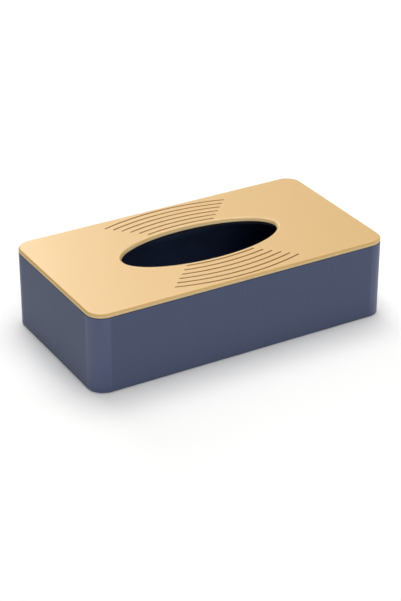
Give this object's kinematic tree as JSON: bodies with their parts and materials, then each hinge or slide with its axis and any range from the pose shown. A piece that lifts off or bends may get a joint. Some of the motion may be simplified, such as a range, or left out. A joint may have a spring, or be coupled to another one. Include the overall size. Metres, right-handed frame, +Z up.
{
  "type": "tissue box with drawer",
  "caption": "Low rectangular tissue box with round corners, a metal top plate with an oval slot between engraved arcs, and a refill drawer in one end.",
  "frame": {"origin": "centre of the footprint, on the surface the box stands on", "axes": "+X along the length towards the drawer end, +Y across the width towards the back, +Z up"},
  "size_m": [0.25, 0.134, 0.0643],
  "materials": {
    "gold_plate": "satin champagne gold, anodised",
    "woven_leatherette": "fine plain weave, matte navy",
    "smooth_leatherette": "smooth semi-matte navy",
    "suede_liner": "short-pile suede, navy",
    "case_board": "bare fibreboard",
    "black_board": "fibreboard stained black",
    "felt": "pressed felt, black",
    "adhesive": "matte adhesive sheet",
    "magnet": "nickel plated",
    "screw_steel": "zinc plated"
  },
  "bodies": {
    "case": {"back_glide_strip": "felt", "back_guide_rail": "black_board", "back_stop_block": "black_board", "back_wall": "case_board", "back_woven_panel": "woven_leatherette", "base_board": "case_board", "base_pad": "felt", "base_screws": "screw_steel", "case_magnets": "magnet", "corner_post_back_left": "case_board", "corner_post_back_right": "case_board", "corner_post_front_left": "case_board", "corner_post_front_right": "case_board", "corner_wrap_back_left": "smooth_leatherette", "corner_wrap_back_right": "smooth_leatherette", "corner_wrap_front_left": "smooth_leatherette", "corner_wrap_front_right": "smooth_leatherette", "end_wall": "case_board", "end_woven_panel": "woven_leatherette", "felt_bumpers": "felt", "front_glide_strip": "felt", "front_guide_rail": "black_board", "front_stop_block": "black_board", "front_wall": "case_board", "front_woven_panel": "woven_leatherette", "mouth_lip_lower": "smooth_leatherette", "mouth_lip_upper": "smooth_leatherette", "plate_glue": "adhesive", "roof_board": "black_board", "top_plate": "gold_plate"},
    "drawer": {"drawer_front": "black_board", "drawer_woven_facing": "woven_leatherette", "tray_floor_board": "black_board", "tray_front_side": "black_board", "tray_back_side": "black_board", "tray_end_board": "black_board", "tray_liner": "suede_liner", "tray_magnets": "magnet"}
  },
  "joints": [
    {"name": "drawer_slide", "type": "slide", "parent": "case", "child": "drawer", "axis": [1, 0, 0], "range_m": [0, 0.2]}
  ]
}
